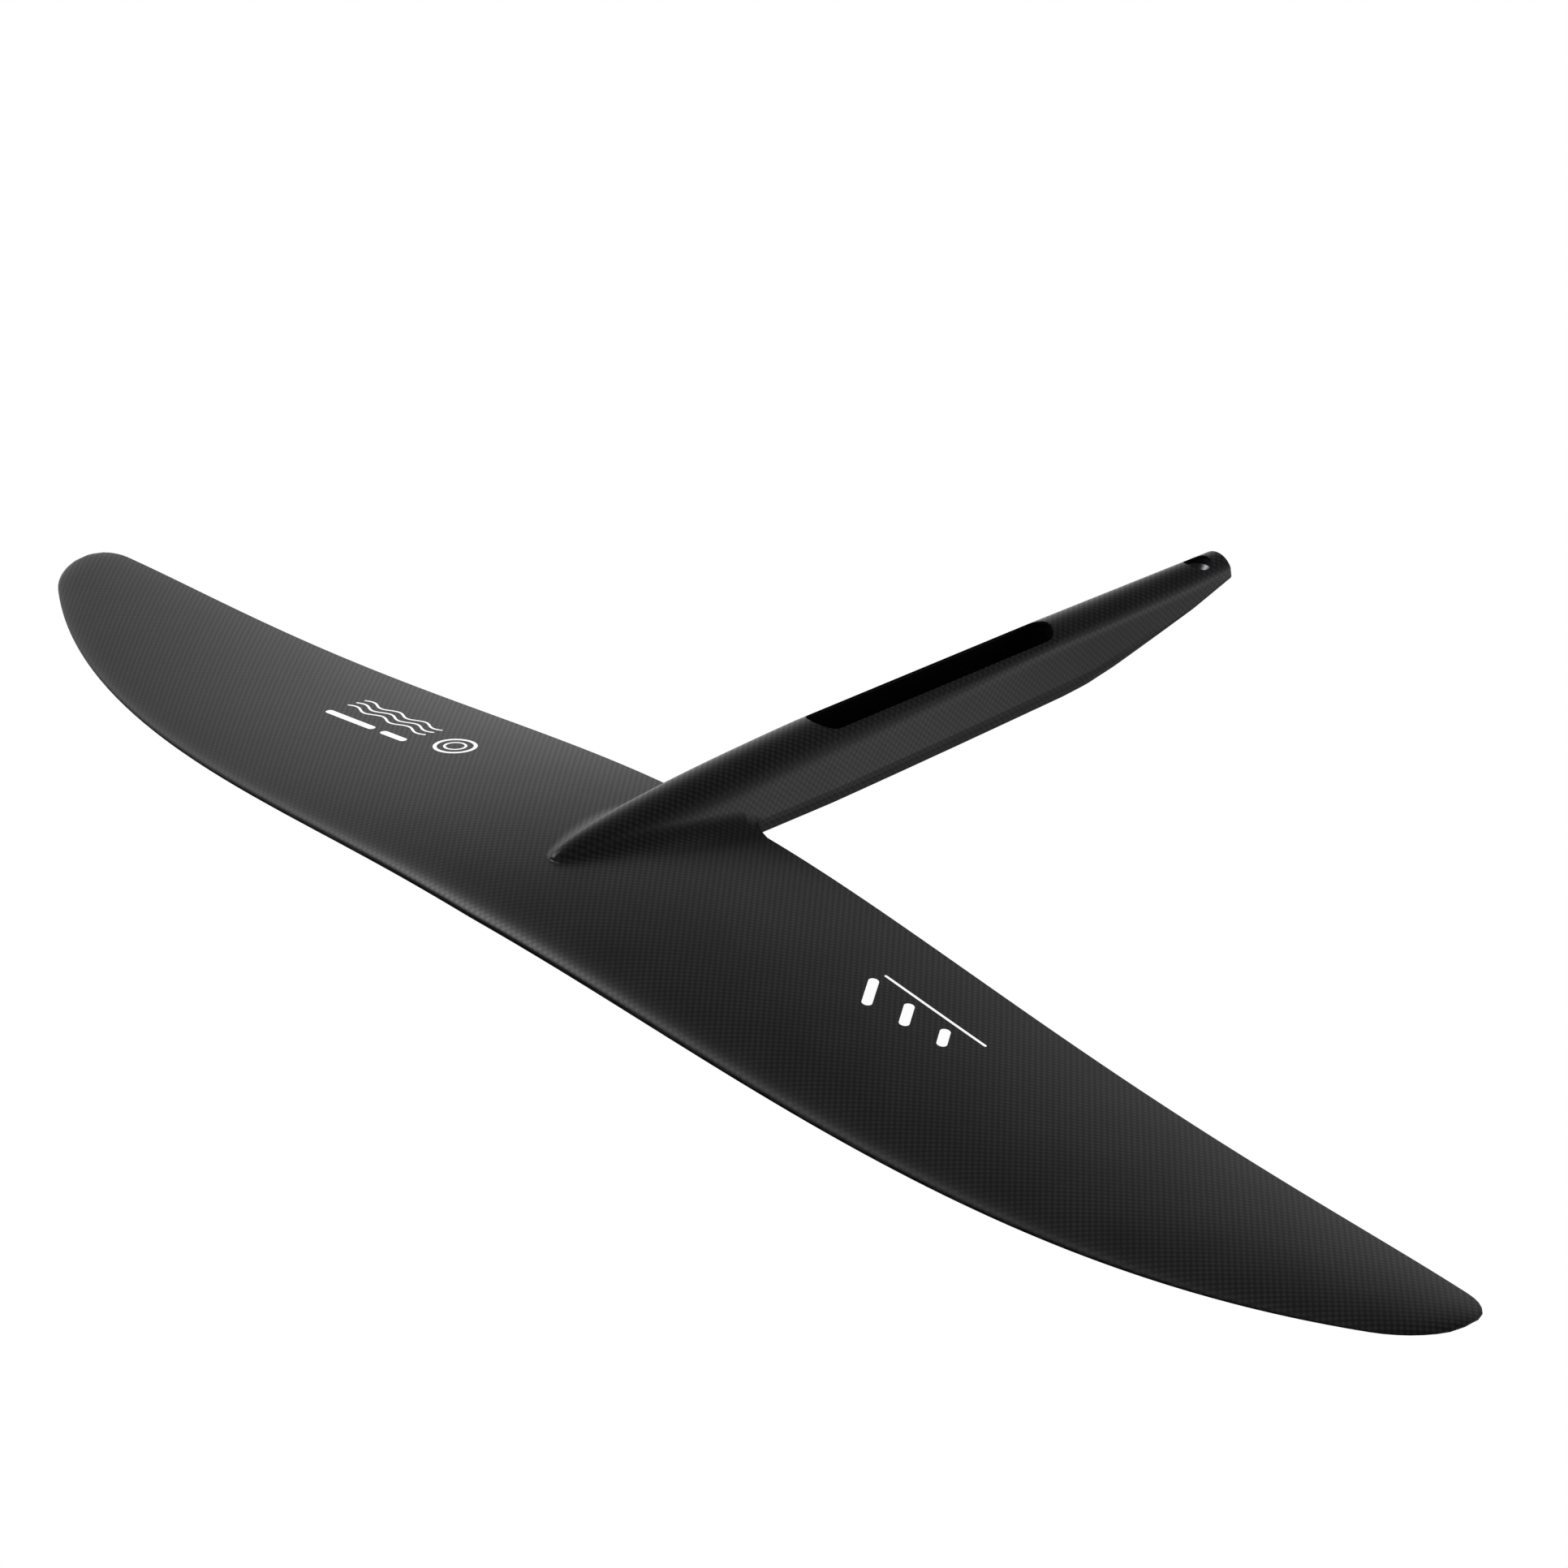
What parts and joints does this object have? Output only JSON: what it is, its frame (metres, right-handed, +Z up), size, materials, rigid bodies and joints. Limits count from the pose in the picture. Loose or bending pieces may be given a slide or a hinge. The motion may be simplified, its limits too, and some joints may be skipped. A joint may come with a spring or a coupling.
{
  "type": "hydrofoil front wing with integral fuselage",
  "caption": "One-piece carbon hydrofoil front wing with drooped tips, a fuselage, an open mast socket in its top and a slanted tail seat with a countersunk screw hole.",
  "frame": {"origin": "centre of the mast socket's floor, where the foot of the mast stands", "axes": "+X along the span, +Y backwards to the tail, +Z up towards the board"},
  "size_m": [0.93, 0.468, 0.0581],
  "materials": {
    "carbon_skin": "plain-weave carbon under a satin clear coat",
    "socket_carbon": "plain-weave carbon, satin",
    "foam_core": "closed-cell structural foam",
    "spar_carbon": "unidirectional carbon, matt",
    "laminate": "solid carbon laminate, matt",
    "insert_metal": "black anodised",
    "seat_metal": "brushed stainless"
  },
  "bodies": {
    "root": {"upper_shell": "carbon_skin", "lower_shell": "carbon_skin", "tail_skin": "carbon_skin", "front_core_left": "foam_core", "front_core_right": "foam_core", "rear_core_left": "foam_core", "rear_core_right": "foam_core", "spar_cap_upper": "spar_carbon", "spar_cap_lower": "spar_carbon", "spar_web": "laminate", "leading_strip_left": "laminate", "leading_strip_right": "laminate", "trailing_strip_left": "laminate", "trailing_strip_right": "laminate", "tip_block_left": "laminate", "tip_block_right": "laminate", "nose_core": "foam_core", "tail_core": "foam_core", "tail_block": "laminate", "tail_insert": "insert_metal", "mast_socket": "socket_carbon", "socket_plate": "laminate", "screw_seat_front": "seat_metal", "screw_seat_rear": "seat_metal"}
  },
  "joints": []
}
